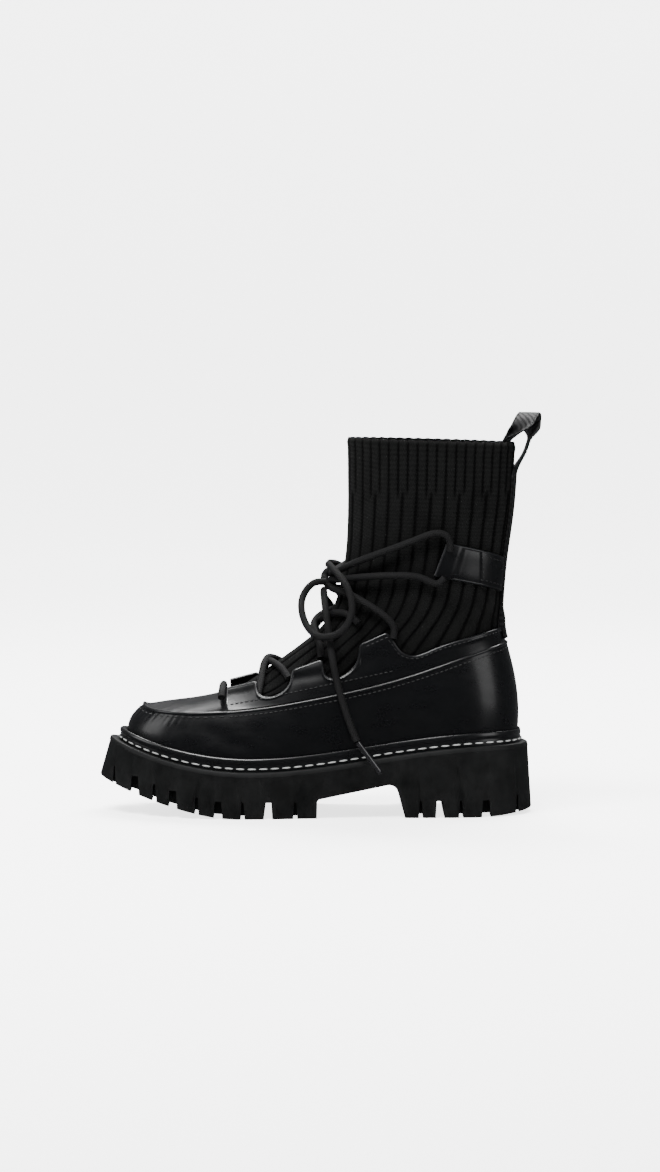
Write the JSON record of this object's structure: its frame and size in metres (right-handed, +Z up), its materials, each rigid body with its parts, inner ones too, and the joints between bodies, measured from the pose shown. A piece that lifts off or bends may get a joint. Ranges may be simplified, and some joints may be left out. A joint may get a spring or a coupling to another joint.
{
  "type": "sock boot",
  "caption": "Black platform sock boot: lugged sole, glossy moccasin-toe upper with lace tabs, ribbed knit shaft, pull loop and a round lace tied in a bow.",
  "frame": {"origin": "middle of the boot's box, on the floor under the sole", "axes": "the toe points to -X and the heel to +X, the outer side of the foot is -Y, +Z up"},
  "size_m": [0.2836, 0.1056, 0.2577],
  "materials": {
    "sole_rubber": "satin matte black, faintly mottled",
    "welt_rubber": "glossy black with light stitches",
    "upper_leather": "glossy black polished leather",
    "sock_knit": "matte black ribbed knit",
    "strip_leather": "satin black woven strip",
    "lace_cord": "matte black round braid",
    "lace_tip": "glossy dark",
    "insole_board": "matte dark textile"
  },
  "bodies": {
    "root": {"outsole": "sole_rubber", "welt": "welt_rubber", "insole": "insole_board", "upper": "upper_leather", "sock_shaft": "sock_knit", "tab_panel": "upper_leather", "back_strip": "strip_leather", "ankle_strap_outer": "upper_leather", "ankle_strap_inner": "upper_leather", "aglet_outer": "lace_tip", "aglet_inner": "lace_tip", "lace_bar": "lace_cord", "lace_crossing_low": "lace_cord", "lace_crossing_high": "lace_cord", "lace_tab_run_outer": "lace_cord", "lace_tab_run_inner": "lace_cord", "lace_upper_run_outer": "lace_cord", "lace_upper_run_inner": "lace_cord", "lace_lower_run_outer": "lace_cord", "lace_lower_run_inner": "lace_cord", "lace_knot": "lace_cord", "lace_loop_outer": "lace_cord", "lace_loop_inner": "lace_cord", "lace_end_outer": "lace_cord", "lace_end_inner": "lace_cord"}
  },
  "joints": []
}
